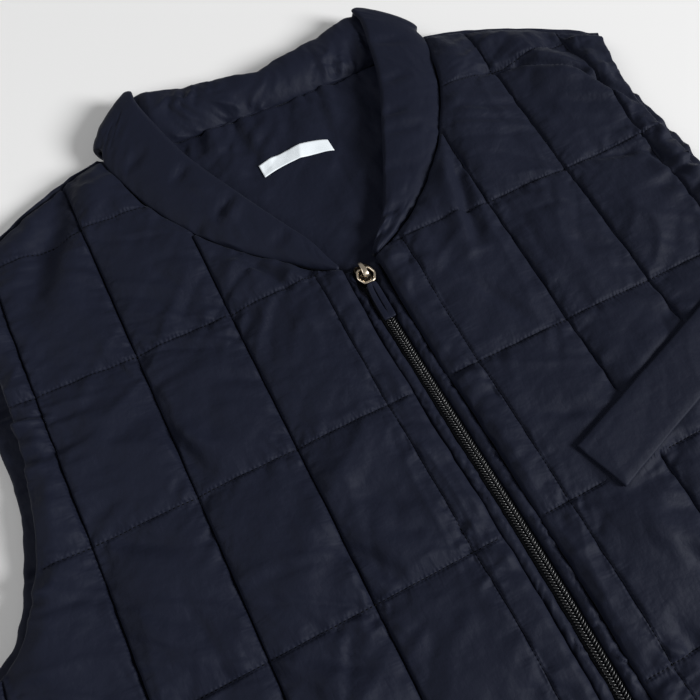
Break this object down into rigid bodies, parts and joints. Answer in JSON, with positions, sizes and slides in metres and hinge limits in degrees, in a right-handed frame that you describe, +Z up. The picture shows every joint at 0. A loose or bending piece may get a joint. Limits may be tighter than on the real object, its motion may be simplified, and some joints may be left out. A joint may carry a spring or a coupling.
{
  "type": "quilted vest",
  "caption": "Sleeveless quilted vest with a padded stand collar, a full-length front zip and a slanted breast welt, laid flat on its back.",
  "frame": {"origin": "middle of the bounding box at its base, on the surface that the vest lies on", "axes": "+X to the wearer's left, +Y to the collar, +Z up from the surface"},
  "size_m": [0.544, 0.7014, 0.0201],
  "materials": {
    "shell_cloth": "smooth dark navy nylon with a soft satin sheen",
    "tab_cloth": "dark navy woven tape",
    "zip_teeth": "glossy black moulded coil",
    "zip_metal": "pale gold, polished",
    "label_cloth": "blank woven label, pale grey"
  },
  "bodies": {
    "vest": {"back": "shell_cloth", "front_left": "shell_cloth", "front_right": "shell_cloth", "collar_left": "shell_cloth", "collar_right": "shell_cloth", "zip_strip_left": "shell_cloth", "zip_strip_right": "shell_cloth", "zip_chain": "zip_teeth", "zip_slider": "zip_metal", "breast_welt": "shell_cloth", "neck_label": "label_cloth"},
    "pull": {"zip_pull": "zip_metal", "pull_tab": "tab_cloth"}
  },
  "joints": [
    {"name": "pull_hinge", "type": "hinge", "parent": "vest", "child": "pull", "pos_m": [-0.005, 0.1832, 0.014], "axis": [-1, 0, 0], "range_deg": [0, 165]}
  ]
}
